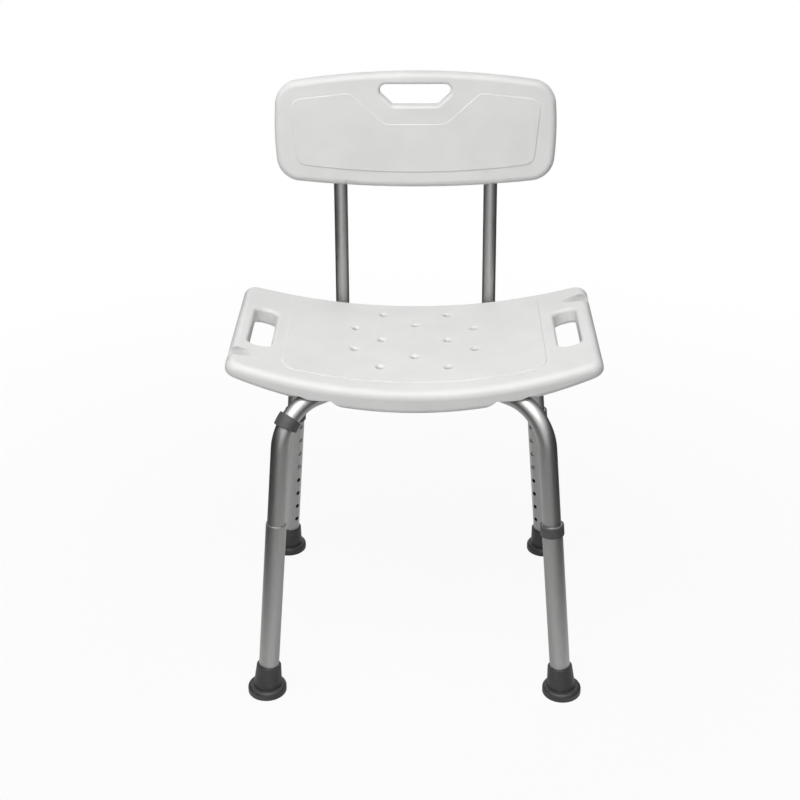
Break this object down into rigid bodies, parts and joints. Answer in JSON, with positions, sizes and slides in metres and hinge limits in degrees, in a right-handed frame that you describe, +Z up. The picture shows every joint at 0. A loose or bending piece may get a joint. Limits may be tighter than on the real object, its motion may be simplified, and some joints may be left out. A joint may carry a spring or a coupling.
{
  "type": "shower chair",
  "caption": "Shower chair with a curved moulded seat, a backrest with a handle hole and crossed tubular legs that telescope with snap buttons.",
  "frame": {"origin": "on the floor under the middle of the four feet, which is the bottom centre of the whole chair", "axes": "+Z up, +Y to the rear of the chair, +X to the right as seen in the picture"},
  "size_m": [0.508, 0.437, 0.7977],
  "materials": {
    "white_plastic": "fine matt moulded",
    "aluminium_tube": "satin anodised",
    "collar_rubber": "smooth grey rubber",
    "foot_rubber": "matt dark grey rubber",
    "steel_fastener": "zinc plated",
    "button_steel": "bright",
    "brass_insert": "plain"
  },
  "bodies": {
    "chair": {"seat": "white_plastic", "backrest": "white_plastic", "back_tube_left": "aluminium_tube", "back_tube_right": "aluminium_tube", "back_socket_left": "white_plastic", "back_socket_right": "white_plastic", "socket_screws": "steel_fastener", "back_tube_bolts": "steel_fastener", "back_tube_nuts": "steel_fastener", "backrest_screws": "steel_fastener", "frame_tube_upper": "aluminium_tube", "frame_tube_lower": "aluminium_tube", "frame_bolts": "steel_fastener", "bolt_saddles": "steel_fastener", "seat_inserts": "brass_insert", "centre_bolt": "steel_fastener", "centre_nut": "steel_fastener", "button_spring_front_left": "button_steel", "button_spring_front_right": "button_steel", "button_spring_rear_left": "button_steel", "button_spring_rear_right": "button_steel"},
    "leg_front_left": {"leg_extension_front_left": "aluminium_tube", "foot_front_left": "foot_rubber", "foot_washer_front_left": "steel_fastener"},
    "button_front_left": {"snap_button_front_left": "button_steel"},
    "collar_front_left": {"collar_front_left": "collar_rubber"},
    "leg_front_right": {"leg_extension_front_right": "aluminium_tube", "foot_front_right": "foot_rubber", "foot_washer_front_right": "steel_fastener"},
    "button_front_right": {"snap_button_front_right": "button_steel"},
    "collar_front_right": {"collar_front_right": "collar_rubber"},
    "leg_rear_left": {"leg_extension_rear_left": "aluminium_tube", "foot_rear_left": "foot_rubber", "foot_washer_rear_left": "steel_fastener"},
    "button_rear_left": {"snap_button_rear_left": "button_steel"},
    "collar_rear_left": {"collar_rear_left": "collar_rubber"},
    "leg_rear_right": {"leg_extension_rear_right": "aluminium_tube", "foot_rear_right": "foot_rubber", "foot_washer_rear_right": "steel_fastener"},
    "button_rear_right": {"snap_button_rear_right": "button_steel"},
    "collar_rear_right": {"collar_rear_right": "collar_rubber"}
  },
  "joints": [
    {"name": "leg_height_front_left", "type": "slide", "parent": "chair", "child": "leg_front_left", "axis": [-0.0821, -0.0743, -0.9938], "range_m": [-0.1016, 0.0762], "deforming": ["snap_button_front_left"]},
    {"name": "button_press_front_left", "type": "slide", "parent": "chair", "child": "button_front_left", "axis": [-0.7368, -0.667, 0.1108], "range_m": [0, 0.0045], "stiffness_N_per_m": 1500, "springref_m": -0.004, "deforming": ["button_spring_front_left"]},
    {"name": "leg_height_front_right", "type": "slide", "parent": "chair", "child": "leg_front_right", "axis": [0.0821, -0.0743, -0.9938], "range_m": [-0.1016, 0.0762], "deforming": ["snap_button_front_right"]},
    {"name": "button_press_front_right", "type": "slide", "parent": "chair", "child": "button_front_right", "axis": [0.7368, -0.667, 0.1108], "range_m": [0, 0.0045], "stiffness_N_per_m": 1500, "springref_m": -0.004, "deforming": ["button_spring_front_right"]},
    {"name": "collar_slide_front_right", "type": "slide", "parent": "leg_front_right", "child": "collar_front_right", "axis": [-0.0821, 0.0743, 0.9938], "range_m": [-0.08, 0.1]},
    {"name": "leg_height_rear_left", "type": "slide", "parent": "chair", "child": "leg_rear_left", "axis": [-0.0821, 0.0743, -0.9938], "range_m": [-0.1016, 0.0762], "deforming": ["snap_button_rear_left"]},
    {"name": "button_press_rear_left", "type": "slide", "parent": "chair", "child": "button_rear_left", "axis": [-0.7368, 0.667, 0.1108], "range_m": [0, 0.0045], "stiffness_N_per_m": 1500, "springref_m": -0.004, "deforming": ["button_spring_rear_left"]},
    {"name": "collar_slide_rear_left", "type": "slide", "parent": "leg_rear_left", "child": "collar_rear_left", "axis": [0.0821, -0.0743, 0.9938], "range_m": [-0.08, 0.1]},
    {"name": "leg_height_rear_right", "type": "slide", "parent": "chair", "child": "leg_rear_right", "axis": [0.0821, 0.0743, -0.9938], "range_m": [-0.1016, 0.0762], "deforming": ["snap_button_rear_right"]},
    {"name": "button_press_rear_right", "type": "slide", "parent": "chair", "child": "button_rear_right", "axis": [0.7368, 0.667, 0.1108], "range_m": [0, 0.0045], "stiffness_N_per_m": 1500, "springref_m": -0.004, "deforming": ["button_spring_rear_right"]},
    {"name": "collar_slide_rear_right", "type": "slide", "parent": "leg_rear_right", "child": "collar_rear_right", "axis": [-0.0821, -0.0743, 0.9938], "range_m": [-0.08, 0.1]},
    {"name": "collar_bend_front_left", "type": "hinge", "parent": "chair", "child": "collar_front_left", "pos_m": [-0.13244, -0.11988, 0.373], "axis": [-0.6711, 0.7414, 0], "range_deg": [-26, 14]}
  ]
}
